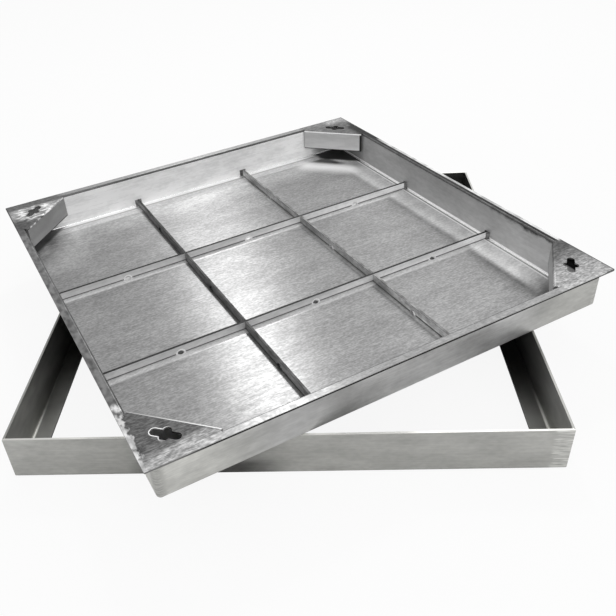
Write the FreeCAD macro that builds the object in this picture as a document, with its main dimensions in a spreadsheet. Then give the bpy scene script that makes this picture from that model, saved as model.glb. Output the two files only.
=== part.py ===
"""Square recessed inspection cover of bright sheet steel, in two loose units.

The lower unit is a square frame of four folded angles, mitred and welded. The upper one is a shallow
tray that takes paving: one folded sheet with an outward rim, four ribs half-lapped on its floor and a
folded key plate in each corner. The lid is lifted out and laid turned on the frame, as it is left
beside an open shaft. Millimetres, +Z up. The origin lies on the ground under the middle of the lid.
"""

import FreeCAD
import Part
import math
import os

import Sketcher

SIZES = (
    ("frame_side_length", 600.0, "outside length of each side of the frame"),
    ("frame_height", 58.0, "height of the frame"),
    ("ledge_width", 24.0, "width of the frame's ledge, its wall included"),
    ("frame_sheet", 2.5, "sheet of the frame"),
    ("frame_bend", 1.0, "inside radius of the frame's fold"),
    ("mitre_gap", 1.6, "gap between two mitred ends, which the weld fills"),
    ("rim_overlap", 2.0, "how far the lid's rim reaches past the frame's outer face"),
    ("rim_width", 9.0, "width of the rim outside the lid's wall"),
    ("floor_gap", 4.0, "gap under the closed lid's floor, over the ledge"),
    ("lid_sheet", 2.0, "sheet of the lid's tray"),
    ("lid_bend", 1.0, "inside radius of the tray's folds"),
    ("inner_corner", 3.0, "inside radius of the tray's welded wall corners"),
    ("rim_point", 1.0, "rounding of the rim's four points"),
    ("rib_height", 11.0, "height of a rib over the floor"),
    ("rib_sheet", 3.0, "thickness of a rib"),
    ("rib_pitch", 192.0, "distance between two like ribs"),
    ("rib_shift", -4.0, "how far the pair of ribs lies off the middle"),
    ("rib_end_gap", 0.8, "gap between a rib's end and the wall"),
    ("lap_clearance", 0.1, "clearance on each side of a rib in the other's slot"),
    ("weep_radius", 4.5, "radius of the half-round weep notches at the ribs' feet"),
    ("weep_pitch", 190.0, "distance between two weep notches of a rib"),
    ("weep_shift", 1.0, "how far a rib's row of weep notches lies off the middle"),
    ("tack_leg", 4.0, "leg of the tack welds at the ribs' ends"),
    ("tack_drop", 0.5, "how far the end tacks stop short of the rib's top"),
    ("plate_leg", 78.0, "leg of a key plate along the wall"),
    ("plate_sheet", 2.0, "sheet of a key plate"),
    ("plate_bend", 1.0, "inside radius of the key plate's fold"),
    ("skirt_height", 32.0, "height of the key plate's folded skirt, its sheet included"),
    ("skirt_end_gap", 4.5, "how far the skirt's end stops short of the plate's point"),
    ("key_inset", 24.0, "distance of the key hole's middle from either wall"),
    ("key_slot_long", 33.5, "length of the key hole's long slot"),
    ("key_slot_short", 18.5, "length of the key hole's short slot"),
    ("key_slot_width", 9.5, "width of both slots"),
    ("lid_turn", 30.4, "angle by which the lid lies turned on the frame, degrees"),
    ("frame_shift_x", 13.0, "frame's middle from the lid's middle, sideways"),
    ("frame_shift_y", -19.0, "frame's middle from the lid's middle, in depth"),
)

# Sizes that follow from the driving ones, in the order in which they need each other
DERIVED = (
    ("frame_half", "frame_side_length / 2"),
    ("ledge_edge", "frame_half - ledge_width"),
    ("frame_fold", "frame_bend + frame_sheet"),
    ("mitre_setback", "mitre_gap / sqrt(2)"),
    ("lid_height", "frame_height - frame_sheet - floor_gap + lid_sheet"),
    ("rim_half", "frame_half + rim_overlap"),
    ("wall_half", "rim_half - rim_width"),
    ("bay_half", "wall_half - lid_sheet"),
    ("lid_fold", "lid_bend + lid_sheet"),
    ("outer_corner", "inner_corner + lid_sheet"),
    ("rib_top", "lid_sheet + rib_height"),
    ("rib_half_way", "lid_sheet + rib_height / 2"),
    ("rib_low", "rib_shift - rib_pitch / 2"),
    ("rib_high", "rib_shift + rib_pitch / 2"),
    ("weep_low", "weep_shift - weep_pitch"),
    ("weep_high", "weep_shift + weep_pitch"),
    ("rib_reach", "bay_half - rib_end_gap"),
    ("apex_reach", "bay_half * sqrt(2)"),
    ("fold_reach", "apex_reach - plate_leg / sqrt(2)"),
    ("plate_fold", "plate_bend + plate_sheet"),
    ("skirt_half", "plate_leg / sqrt(2) - skirt_end_gap"),
    ("seam_start", "bay_half - skirt_half * sqrt(2)"),
    ("seam_depth", "lid_fold - sqrt(lid_fold ^ 2 - (lid_fold - plate_sheet) ^ 2)"),
    ("key_reach", "(bay_half - key_inset) * sqrt(2)"),
)

FRAME_SIDES = ("front", "right", "back", "left")
LID_CORNERS = ("back", "left", "front", "right")
QUARTER_TURN = 90
CUT_MARGIN = 5
SAME_WITHIN = 1e-4
UP = FreeCAD.Vector(0, 0, 1)
NAMES = sorted((row[0] for row in SIZES + DERIVED), key=len, reverse=True)

doc = FreeCAD.newDocument("inspection_cover")
sheet = doc.addObject("Spreadsheet::Sheet", "Sizes")


def in_sheet(formula):
    """The formula with each name of the sheet written as Sizes.name."""
    words = []
    word = ""
    for letter in formula + " ":
        if letter.isalnum() or letter in "_.":
            word += letter
        else:
            words.append(f"Sizes.{word}" if word in NAMES else word)
            words.append(letter)
            word = ""
    return "".join(words).strip()


def fill_sheet():
    """Write every driving and every derived size into the sheet, each under its own name."""
    for row, (name, value, note) in enumerate(SIZES, start=1):
        sheet.set(f"A{row}", name)
        sheet.set(f"B{row}", str(value))
        sheet.setAlias(f"B{row}", name)
        sheet.set(f"C{row}", note)
    doc.recompute()
    for row, (name, formula) in enumerate(DERIVED, start=len(SIZES) + 1):
        sheet.set(f"A{row}", name)
        sheet.set(f"B{row}", "=" + formula)
        sheet.setAlias(f"B{row}", name)
        doc.recompute()


def amount(formula):
    """The number that a formula in the sheet's names gives now."""
    return float(sheet.evalExpression(in_sheet(formula)))


def bind(feature, **formulas):
    """Tie properties of a feature to formulas in the sheet's names."""
    for prop, formula in formulas.items():
        feature.setExpression(prop, in_sheet(formula))


def plane(body, role):
    """One of the body's own origin planes, such as XY_Plane."""
    return next(item for item in body.Origin.OriginFeatures if item.Role == role)


def new_sketch(body, name, role="XY_Plane", offset="0"):
    """A sketch on one of the body's origin planes, moved along the plane's normal by a formula."""
    sketch = body.newObject("Sketcher::SketchObject", f"{body.Name}_{name}")
    sketch.AttachmentSupport = [(plane(body, role), "")]
    sketch.MapMode = "FlatFace"
    sketch.setExpression("AttachmentOffset.Base.z", in_sheet(offset))
    return sketch


def pin(sketch, item, point, across=None, up=None):
    """Fix a point of a line or arc at formulas for its distance from the sketch's origin."""
    for kind, formula in (("DistanceX", across), ("DistanceY", up)):
        if formula is None:
            continue
        rule = Sketcher.Constraint(kind, -1, 1, item, point, amount(formula))
        number = sketch.addConstraint(rule)
        sketch.setExpression(f"Constraints[{number}]", in_sheet(formula))


def measure(sketch, kind, item, formula):
    """Give an arc or a circle its radius or diameter by a formula."""
    number = sketch.addConstraint(Sketcher.Constraint(kind, item, amount(formula)))
    sketch.setExpression(f"Constraints[{number}]", in_sheet(formula))


def draw_polygon(sketch, corners):
    """A closed outline of straight lines through corners given as pairs of formulas."""
    spots = [FreeCAD.Vector(amount(across), amount(up), 0) for across, up in corners]
    count = len(spots)
    lines = [sketch.addGeometry(Part.LineSegment(spots[i], spots[(i + 1) % count]), False)
             for i in range(count)]
    for i, line in enumerate(lines):
        sketch.addConstraint(Sketcher.Constraint("Coincident", line, 2, lines[(i + 1) % count], 1))
        pin(sketch, line, 1, *corners[i])


def draw_folded(sketch, corners):
    """A closed outline of level and upright lines, with corners (across, up, radius or None).

    The first corner is sharp and its line runs level. Each rounded corner is an arc that is tangent
    to both its lines, so the outline is that of a bent sheet.
    """
    spots = [FreeCAD.Vector(amount(across), amount(up), 0) for across, up, _ in corners]
    radii = [0.0 if radius is None else amount(radius) for _, _, radius in corners]
    count = len(corners)
    runs = [(spots[(i + 1) % count] - spots[i]).normalize() for i in range(count)]
    lines = []
    for i in range(count):
        start = spots[i] + runs[i] * radii[i]
        end = spots[(i + 1) % count] - runs[i] * radii[(i + 1) % count]
        lines.append(sketch.addGeometry(Part.LineSegment(start, end), False))
    for i, line in enumerate(lines):
        level = abs(runs[i].x) > abs(runs[i].y)
        sketch.addConstraint(Sketcher.Constraint("Horizontal" if level else "Vertical", line))
        across, up, radius = corners[i]
        pin(sketch, line, 1, None if level else across, up if level else None)
        before = lines[i - 1]
        if radius is None:
            sketch.addConstraint(Sketcher.Constraint("Coincident", before, 2, line, 1))
            continue
        arc, first, last = add_bend(sketch, spots[i], runs[i - 1], runs[i], radii[i])
        sketch.addConstraint(Sketcher.Constraint("Tangent", before, 2, arc, first))
        sketch.addConstraint(Sketcher.Constraint("Tangent", arc, last, line, 1))
        measure(sketch, "Radius", arc, radius)


def add_bend(sketch, corner, run_in, run_out, radius):
    """The quarter arc that rounds a square corner, with the numbers of its first and last point."""
    centre = corner - run_in * radius + run_out * radius
    left_turn = run_in.cross(run_out).z > 0
    first, last = (corner - run_in * radius, corner + run_out * radius)
    begin, finish = (first, last) if left_turn else (last, first)
    circle = Part.Circle(centre, UP, radius)
    from_angle = math.atan2(begin.y - centre.y, begin.x - centre.x)
    to_angle = math.atan2(finish.y - centre.y, finish.x - centre.x)
    arc = sketch.addGeometry(Part.ArcOfCircle(circle, from_angle, to_angle), False)
    return (arc, 1, 2) if left_turn else (arc, 2, 1)


def draw_slot(sketch, up, length, width, standing=False):
    """A slot with round ends about a point on the sketch's upright axis, lying or standing."""
    turn = math.pi / 2 if standing else 0.0
    along = FreeCAD.Vector(math.cos(turn), math.sin(turn), 0)
    aside = FreeCAD.Vector(-along.y, along.x, 0)
    middle = FreeCAD.Vector(0, amount(up), 0)
    radius = amount(width) / 2
    reach = (amount(length) - amount(width)) / 2
    arcs = []
    for sign in (1, -1):
        circle = Part.Circle(middle + along * reach * sign, UP, radius)
        begin = turn - math.pi / 2 if sign > 0 else turn + math.pi / 2
        arcs.append(sketch.addGeometry(Part.ArcOfCircle(circle, begin, begin + math.pi), False))
    for sign in (1, -1):
        start = middle + along * reach * sign + aside * radius * sign
        end = middle - along * reach * sign + aside * radius * sign
        line = sketch.addGeometry(Part.LineSegment(start, end), False)
        here, there = (arcs[0], arcs[1]) if sign > 0 else (arcs[1], arcs[0])
        sketch.addConstraint(Sketcher.Constraint("Tangent", here, 2, line, 1))
        sketch.addConstraint(Sketcher.Constraint("Tangent", line, 2, there, 1))
    half = f"({length} - {width}) / 2"
    far = ("0", f"{up} + {half}") if standing else (half, up)
    near = ("0", f"{up} - {half}") if standing else (f"-{half}", up)
    pin(sketch, arcs[0], 3, *far)
    pin(sketch, arcs[1], 3, *near)
    measure(sketch, "Radius", arcs[0], f"{width} / 2")


def draw_circle(sketch, across, up, radius):
    """A circle about a point given by formulas."""
    centre = FreeCAD.Vector(amount(across), amount(up), 0)
    circle = sketch.addGeometry(Part.Circle(centre, UP, amount(radius)), False)
    pin(sketch, circle, 3, across, up)
    measure(sketch, "Radius", circle, radius)


def square(half):
    """The four corners of a square about the sketch's origin, for an outline of straight lines."""
    return ((f"-({half})", f"-({half})"), (half, f"-({half})"), (half, half), (f"-({half})", half))


def pad(body, sketch, length, midplane=False, upwards=True):
    """Raise a sketch to a solid by a formula, on one side of its plane or half to each side."""
    feature = body.newObject("PartDesign::Pad", f"{sketch.Name}_pad")
    feature.Profile = sketch
    bind(feature, Length=length)
    feature.Midplane = midplane
    feature.Reversed = not upwards
    sketch.Visibility = False
    doc.recompute()
    return feature


def pocket(body, sketch, length=None, midplane=False, upwards=False):
    """Cut a sketch's outline out of the body, through all of it or by a formula."""
    before = body.Shape.Volume
    feature = body.newObject("PartDesign::Pocket", f"{sketch.Name}_cut")
    feature.Profile = sketch
    if length is None:
        feature.Type = "ThroughAll"
    else:
        bind(feature, Length=length)
    feature.Midplane = midplane
    feature.Reversed = upwards
    sketch.Visibility = False
    doc.recompute()
    if body.Shape.Volume >= before:
        raise RuntimeError(f"{feature.Name} cuts nothing")
    return feature


def edges_where(shape, test):
    """The names of the edges whose every end and middle passes a test of its point."""
    found = []
    for number, edge in enumerate(shape.Edges, start=1):
        first, last = edge.ParameterRange
        spots = [edge.valueAt(first + (last - first) * share) for share in (0.0, 0.5, 1.0)]
        if all(test(spot) for spot in spots):
            found.append(f"Edge{number}")
    return found


def fillet(body, name, radius, test):
    """Round the edges that pass a test, by a radius given as a formula."""
    base = body.Tip
    feature = body.newObject("PartDesign::Fillet", f"{body.Name}_{name}")
    feature.Base = (base, edges_where(base.Shape, test))
    bind(feature, Radius=radius)
    doc.recompute()
    return feature


def new_body(name):
    """An empty body, whose label names its file."""
    body = doc.addObject("PartDesign::Body", name)
    body.Label = name
    return body


def place_on_frame(body, quarter_turns):
    """Set a piece of the frame about the frame's middle, turned by quarter turns."""
    body.Placement.Rotation = FreeCAD.Rotation(UP, 1)
    bind(body, **{
        "Placement.Base.x": "frame_shift_x",
        "Placement.Base.y": "frame_shift_y",
        "Placement.Rotation.Angle": f"{QUARTER_TURN * quarter_turns}",
    })


def place_in_lid(body, turn="0"):
    """Set a piece of the lid on the frame's top edge, turned with the lid and by its own angle."""
    body.Placement.Rotation = FreeCAD.Rotation(UP, 1)
    bind(body, **{
        "Placement.Base.z": "frame_height",
        "Placement.Rotation.Angle": f"lid_turn + {turn}",
    })


def angle_section(sketch):
    """Section of the frame's folded angle: upright wall outside, ledge inward along the ground."""
    draw_folded(sketch, (
        ("-ledge_edge", "0", None),
        ("-ledge_edge", "frame_sheet", None),
        ("-frame_half + frame_sheet", "frame_sheet", "frame_bend"),
        ("-frame_half + frame_sheet", "frame_height", None),
        ("-frame_half", "frame_height", None),
        ("-frame_half", "0", "frame_fold"),
    ))


def make_frame_side(name, quarter_turns):
    """One folded angle of the frame, mitred at both ends."""
    body = new_body(f"frame_side_{name}")
    section = new_sketch(body, "section", "YZ_Plane")
    angle_section(section)
    pad(body, section, "frame_side_length", midplane=True)
    mitre = new_sketch(body, "mitre")
    outer = f"frame_half + {CUT_MARGIN}"
    inner = f"ledge_edge - {CUT_MARGIN}"
    draw_polygon(mitre, (
        (f"{outer} - mitre_setback", f"-({outer})"),
        (outer, f"-({outer})"),
        (outer, f"-({inner})"),
        (f"{inner} - mitre_setback", f"-({inner})"),
    ))
    cut = pocket(body, mitre, upwards=True)
    both = body.newObject("PartDesign::Mirrored", f"{body.Name}_both_ends")
    both.Originals = [cut]
    both.MirrorPlane = (plane(body, "YZ_Plane"), [""])
    body.Tip = both
    place_on_frame(body, quarter_turns)
    return body


def make_frame_weld(name, quarter_turns):
    """The weld in one mitre: the angle's own section led round the corner, kept in the gap alone."""
    body = new_body(f"frame_weld_{name}")
    reach = f"ledge_edge - {CUT_MARGIN}"
    section = new_sketch(body, "section", "YZ_Plane", reach)
    angle_section(section)
    path = new_sketch(body, "path")
    corner = FreeCAD.Vector(amount("frame_half"), -amount("frame_half"), 0)
    start = FreeCAD.Vector(amount(reach), corner.y, 0)
    end = FreeCAD.Vector(corner.x, -amount(reach), 0)
    path.addGeometry([Part.LineSegment(start, corner), Part.LineSegment(corner, end)], False)
    path.addConstraint(Sketcher.Constraint("Coincident", 0, 2, 1, 1))
    pin(path, 0, 1, reach, "-frame_half")
    pin(path, 0, 2, "frame_half", "-frame_half")
    pin(path, 1, 2, "frame_half", f"-({reach})")
    pipe = body.newObject("PartDesign::AdditivePipe", f"{body.Name}_pipe")
    pipe.Profile = section
    pipe.Spine = (path, ["Edge1", "Edge2"])
    pipe.Transition = "Right corner"
    doc.recompute()
    sides = new_sketch(body, "sides")
    outer = f"frame_half + {CUT_MARGIN}"
    draw_polygon(sides, (
        (f"{reach} - mitre_setback - {CUT_MARGIN}", f"-({outer})"),
        (f"{outer} - mitre_setback", f"-({outer})"),
        (f"{reach} - mitre_setback - {CUT_MARGIN}", f"-({reach} - {CUT_MARGIN})"),
    ))
    draw_polygon(sides, (
        (outer, f"-({outer} - mitre_setback)"),
        (outer, f"-({reach} - mitre_setback - {CUT_MARGIN})"),
        (f"{reach} - {CUT_MARGIN}", f"-({reach} - mitre_setback - {CUT_MARGIN})"),
    ))
    pocket(body, sides, upwards=True)
    place_on_frame(body, quarter_turns)
    return body


def make_tray():
    """The lid's tray: floor, four walls and outward rim of one folded sheet, open at the top."""
    body = new_body("lid_tray")
    outside = new_sketch(body, "outside")
    draw_polygon(outside, square("wall_half"))
    pad(body, outside, "lid_height")
    half = amount("wall_half")
    fillet(body, "wall_corners", "outer_corner",
           lambda p: near(abs(p.x), half) and near(abs(p.y), half))
    rim = new_sketch(body, "rim", offset="lid_height - lid_sheet")
    draw_polygon(rim, square("rim_half"))
    pad(body, rim, "lid_sheet")
    rim_half = amount("rim_half")
    fillet(body, "rim_points", "rim_point",
           lambda p: near(abs(p.x), rim_half) and near(abs(p.y), rim_half))
    bay = new_sketch(body, "bay", offset="lid_sheet")
    draw_polygon(bay, square("bay_half"))
    pocket(body, bay, upwards=True)
    bay_half = amount("bay_half")
    fillet(body, "bay_corners", "inner_corner",
           lambda p: near(abs(p.x), bay_half) and near(abs(p.y), bay_half))
    top = amount("lid_height")
    underside = amount("lid_height - lid_sheet")
    floor = amount("lid_sheet")
    fillet(body, "top_fold", "lid_fold",
           lambda p: near(p.z, top) and across(p) < bay_half + SAME_WITHIN)
    fillet(body, "rim_fold", "lid_bend",
           lambda p: near(p.z, underside) and across(p) < half + SAME_WITHIN)
    fillet(body, "foot_fold", "lid_bend", lambda p: near(p.z, floor))
    fillet(body, "bottom_fold", "lid_fold", lambda p: near(p.z, 0.0))
    place_in_lid(body)
    return body


def near(value, target):
    """Whether two lengths are the same within a hair."""
    return abs(value - target) < SAME_WITHIN


def across(point):
    """How far a point lies from the middle, along the farther of the two plan axes."""
    return max(abs(point.x), abs(point.y))


def make_rib(name, offset, lengthwise, slots_open_up):
    """A flat strip on the floor, with clipped feet, weep notches and a half slot at each crossing."""
    body = new_body(f"rib_{name}")
    side = "YZ_Plane" if lengthwise else "XZ_Plane"
    sign = "" if lengthwise else "-"
    strip = new_sketch(body, "strip", side, f"{sign}({offset})")
    draw_polygon(strip, (
        ("-rib_reach + lid_bend", "lid_sheet"),
        ("rib_reach - lid_bend", "lid_sheet"),
        ("rib_reach", "lid_fold"),
        ("rib_reach", "rib_top"),
        ("-rib_reach", "rib_top"),
        ("-rib_reach", "lid_fold"),
    ))
    pad(body, strip, "rib_sheet", midplane=True)
    weeps = new_sketch(body, "weeps", side, f"{sign}({offset})")
    for place in ("weep_low", "weep_shift", "weep_high"):
        draw_circle(weeps, place, "lid_sheet", "weep_radius")
    pocket(body, weeps, "2 * rib_sheet", midplane=True)
    laps = new_sketch(body, "laps", side, f"{sign}({offset})")
    slot_half = "(rib_sheet / 2 + lap_clearance)"
    low = "rib_half_way" if slots_open_up else f"lid_sheet - {CUT_MARGIN}"
    high = f"rib_top + {CUT_MARGIN}" if slots_open_up else "rib_half_way"
    for place in ("rib_low", "rib_high"):
        draw_polygon(laps, (
            (f"{place} - {slot_half}", low),
            (f"{place} + {slot_half}", low),
            (f"{place} + {slot_half}", high),
            (f"{place} - {slot_half}", high),
        ))
    pocket(body, laps, "2 * rib_sheet", midplane=True)
    place_in_lid(body)
    return body


def make_key_plate(name, quarter_turns):
    """A folded corner plate: triangle level with the rim, skirt turned down along its long edge.

    Its own upright axis points from the lid's middle to the corner.
    """
    body = new_body(f"key_plate_{name}")
    section = new_sketch(body, "section", "YZ_Plane")
    draw_folded(section, (
        ("apex_reach", "lid_height - plate_sheet", None),
        ("apex_reach", "lid_height", None),
        ("fold_reach", "lid_height", "plate_fold"),
        ("fold_reach", "lid_height - skirt_height", None),
        ("fold_reach + plate_sheet", "lid_height - skirt_height", None),
        ("fold_reach + plate_sheet", "lid_height - plate_sheet", "plate_bend"),
    ))
    pad(body, section, "2 * skirt_half", midplane=True)
    flanks = new_sketch(body, "flanks")
    beyond = f"apex_reach + {CUT_MARGIN}"
    start = f"fold_reach - {CUT_MARGIN}"
    for side in ("", "-"):
        draw_polygon(flanks, (
            (f"{side}(0)", "apex_reach"),
            (f"{side}(apex_reach - fold_reach + {CUT_MARGIN})", start),
            (f"{side}(apex_reach)", start),
            (f"{side}(apex_reach)", beyond),
            (f"{side}(0)", beyond),
        ))
    pocket(body, flanks, upwards=True)
    apex = amount("apex_reach")
    fillet(body, "apex", "inner_corner", lambda p: near(p.x, 0.0) and near(p.y, apex))
    for kind, length, standing in (("long", "key_slot_long", False), ("short", "key_slot_short", True)):
        slot = new_sketch(body, f"{kind}_slot")
        draw_slot(slot, "key_reach", length, "key_slot_width", standing)
        pocket(body, slot, upwards=True)
    place_in_lid(body, f"{QUARTER_TURN * (quarter_turns - 0.5)}")
    return body


def make_key_plate_weld(name, quarter_turns):
    """The seam that fills the groove between a key plate and the rim's fold, ground level with both.

    It runs along one wall, round the corner and back along the other.
    """
    body = new_body(f"key_plate_weld_{name}")
    groove = new_sketch(body, "groove", "XZ_Plane", "-seam_start")
    draw_groove(groove)
    path = new_sketch(body, "path", offset="lid_height - lid_fold")
    draw_corner_path(path)
    pipe = body.newObject("PartDesign::AdditivePipe", f"{body.Name}_pipe")
    pipe.Profile = groove
    pipe.Spine = (path, ["Edge1", "Edge2", "Edge3"])
    doc.recompute()
    place_in_lid(body, f"{QUARTER_TURN * quarter_turns}")
    return body


def draw_groove(sketch):
    """Section of the groove: the plate's edge, a short root and the round of the rim's fold."""
    radius = amount("lid_fold")
    centre = FreeCAD.Vector(amount("bay_half") + radius, amount("lid_height") - radius, 0)
    top = FreeCAD.Vector(amount("bay_half"), amount("lid_height"), 0)
    root = FreeCAD.Vector(top.x, top.y - amount("plate_sheet"), 0)
    foot = FreeCAD.Vector(top.x + amount("seam_depth"), root.y, 0)
    circle = Part.Circle(centre, UP, radius)
    from_angle = math.pi / 2
    to_angle = math.pi + math.atan2(centre.y - foot.y, centre.x - foot.x)
    arc = sketch.addGeometry(Part.ArcOfCircle(circle, from_angle, to_angle), False)
    edge = sketch.addGeometry(Part.LineSegment(top, root), False)
    base = sketch.addGeometry(Part.LineSegment(root, foot), False)
    face = sketch.addGeometry(Part.LineSegment(FreeCAD.Vector(centre.x, top.y, 0), top), False)
    for first, first_end, second, second_end in (
            (edge, 2, base, 1), (base, 2, arc, 2), (face, 2, edge, 1)):
        sketch.addConstraint(Sketcher.Constraint("Coincident", first, first_end, second, second_end))
    sketch.addConstraint(Sketcher.Constraint("Tangent", arc, 1, face, 1))
    sketch.addConstraint(Sketcher.Constraint("Horizontal", face))
    sketch.addConstraint(Sketcher.Constraint("Horizontal", base))
    pin(sketch, edge, 1, "bay_half", "lid_height")
    pin(sketch, edge, 2, "bay_half", "lid_height - plate_sheet")
    pin(sketch, arc, 3, "bay_half + lid_fold")
    measure(sketch, "Radius", arc, "lid_fold")


def draw_corner_path(sketch):
    """An open path along two walls, with the arc of the tray's inner corner between them."""
    half = amount("bay_half")
    radius = amount("inner_corner")
    begin = amount("seam_start")
    centre = FreeCAD.Vector(half - radius, half - radius, 0)
    spots = (
        FreeCAD.Vector(half, begin, 0),
        FreeCAD.Vector(half, centre.y, 0),
        FreeCAD.Vector(centre.x, half, 0),
        FreeCAD.Vector(begin, half, 0),
    )
    first = sketch.addGeometry(Part.LineSegment(spots[0], spots[1]), False)
    circle = Part.Circle(centre, UP, radius)
    arc = sketch.addGeometry(Part.ArcOfCircle(circle, 0, math.pi / 2), False)
    last = sketch.addGeometry(Part.LineSegment(spots[2], spots[3]), False)
    sketch.addConstraint(Sketcher.Constraint("Tangent", first, 2, arc, 1))
    sketch.addConstraint(Sketcher.Constraint("Tangent", arc, 2, last, 1))
    sketch.addConstraint(Sketcher.Constraint("Vertical", first))
    sketch.addConstraint(Sketcher.Constraint("Horizontal", last))
    pin(sketch, first, 1, "bay_half", "seam_start")
    pin(sketch, last, 2, "seam_start", "bay_half")
    measure(sketch, "Radius", arc, "inner_corner")


def make_rib_end_tacks():
    """The upright beads that hold the ribs' ends to the walls, one on each side of each end."""
    body = new_body("rib_end_tacks")
    body.AllowCompound = True
    beads = new_sketch(body, "beads", offset="lid_fold")
    for rib in ("rib_low", "rib_high"):
        for side in ("+", "-"):
            foot = f"{rib} {side} rib_sheet / 2"
            tip = f"{foot} {side} tack_leg"
            for end in ("", "-"):
                wall = f"{end}bay_half"
                inner = f"{end}(bay_half - tack_leg)"
                draw_polygon(beads, ((wall, foot), (wall, tip), (inner, foot)))
                draw_polygon(beads, ((foot, wall), (tip, wall), (foot, inner)))
    pad(body, beads, "rib_top - tack_drop - lid_fold")
    place_in_lid(body)
    return body


def check(nodes):
    """Stop if any object of the document failed, or any node's shape is missing or invalid."""
    doc.recompute()
    failed = [item.Name for item in doc.Objects if {"Invalid", "Error"} & set(item.State)]
    failed += [node.Label for node in nodes if node.Shape.isNull() or not node.Shape.isValid()]
    if failed:
        raise RuntimeError("not built: " + ", ".join(failed))


def main():
    """Build every piece, check it and write it to a file of its own name."""
    fill_sheet()
    nodes = [make_frame_side(name, turns) for turns, name in enumerate(FRAME_SIDES)]
    nodes += [make_frame_weld(name, turns) for turns, name in enumerate(FRAME_SIDES)]
    nodes.append(make_tray())
    nodes.append(make_rib("left", "rib_low", lengthwise=True, slots_open_up=True))
    nodes.append(make_rib("right", "rib_high", lengthwise=True, slots_open_up=True))
    nodes.append(make_rib("front", "rib_low", lengthwise=False, slots_open_up=False))
    nodes.append(make_rib("back", "rib_high", lengthwise=False, slots_open_up=False))
    nodes.append(make_rib_end_tacks())
    nodes += [make_key_plate(name, turns) for turns, name in enumerate(LID_CORNERS)]
    nodes += [make_key_plate_weld(name, turns) for turns, name in enumerate(LID_CORNERS)]
    check(nodes)
    os.makedirs("parts", exist_ok=True)
    for node in nodes:
        node.Shape.exportStep(f"parts/{node.Label}.step")


main()
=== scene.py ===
"""Looks of the recessed inspection cover: its tray, its finishes, the studio and the camera.

The lid lies turned on its frame, so each pattern on it is laid out in the lid's own directions:
x runs from the front corner towards the right one, y from the front corner towards the left one,
and z is up. Sizes and patterns are in millimetres, meshes and the studio in metres.
"""

import logging
import math
from collections.abc import Callable
from dataclasses import dataclass
from enum import Enum
from functools import partial, reduce

import bmesh
import bpy
from mathutils import Matrix, Vector


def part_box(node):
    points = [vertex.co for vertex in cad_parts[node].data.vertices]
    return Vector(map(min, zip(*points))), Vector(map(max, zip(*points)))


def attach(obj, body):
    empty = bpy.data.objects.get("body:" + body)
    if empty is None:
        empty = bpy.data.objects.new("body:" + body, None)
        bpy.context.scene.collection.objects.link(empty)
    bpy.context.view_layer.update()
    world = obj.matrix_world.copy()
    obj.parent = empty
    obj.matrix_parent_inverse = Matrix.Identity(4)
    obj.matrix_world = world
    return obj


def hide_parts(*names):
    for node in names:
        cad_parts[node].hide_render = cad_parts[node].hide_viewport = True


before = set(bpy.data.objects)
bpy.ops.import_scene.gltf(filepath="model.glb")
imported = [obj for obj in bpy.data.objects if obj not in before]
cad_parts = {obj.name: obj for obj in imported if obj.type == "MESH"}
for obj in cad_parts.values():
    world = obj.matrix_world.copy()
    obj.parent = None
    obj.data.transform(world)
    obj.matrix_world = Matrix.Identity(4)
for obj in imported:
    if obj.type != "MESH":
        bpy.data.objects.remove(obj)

LOG = logging.getLogger("inspection_cover")
MM = 0.001
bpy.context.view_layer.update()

# The lid: its turn on the frame, its sheet, and half the sides of its rim, walls and floor.
LID_TURN = math.radians(30.4)
LID_BOTTOM, LID_TOP = (corner.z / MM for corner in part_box("lid_tray"))
SHEET = 2.0
RIM_HALF = 302.0
WALL_HALF = 293.0
BAY_HALF = WALL_HALF - SHEET
FLOOR_TOP = LID_BOTTOM + SHEET

# A corner plate: x plus y at its fold, its skirt's foot, and its cross-shaped key hole.
PLATE_FOLD = 504.0
PLATE_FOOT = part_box("key_plate_front")[0].z / MM
KEY_HOLE_PLACE = 267.0
KEY_SLOT_LONG = 33.5
KEY_SLOT_SHORT = 18.5
KEY_SLOT_WIDTH = 9.5

# The ribs: their height, the faces that the floor's wear follows, and their weep notches.
RIB_FOOT, RIB_TOP = (corner.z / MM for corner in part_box("rib_left"))
RIB_FRONT = -100.0
RIB_BACK = 92.0
RIB_RIGHT = 92.0
WEEP_PITCH = 190.0
WEEP_SHIFT = 1.0

# The frame: the middle of its plan, half its side, and its top.
FRAME_MIDDLE = Vector((13.0, -19.0))
FRAME_HALF = 300.0
FRAME_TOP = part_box("frame_side_front")[1].z / MM

NEUTRAL = (1.0, 1.0, 1.0)
DULL_GREEN = (1.0, 1.0, 0.96)
WHITE = (1.0, 1.0, 1.0, 1.0)

Socket = bpy.types.NodeSocket
Number = float | Socket
Span = tuple[float, float]


class Along(Enum):
    """Which way the rolling or grinding lines of a surface run."""

    X = 0
    Y = 1


class Corner(Enum):
    """The lid's corners, by the signs of their x and y."""

    FRONT = (-1, -1)
    RIGHT = (1, -1)
    BACK = (1, 1)
    LEFT = (-1, 1)


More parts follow.
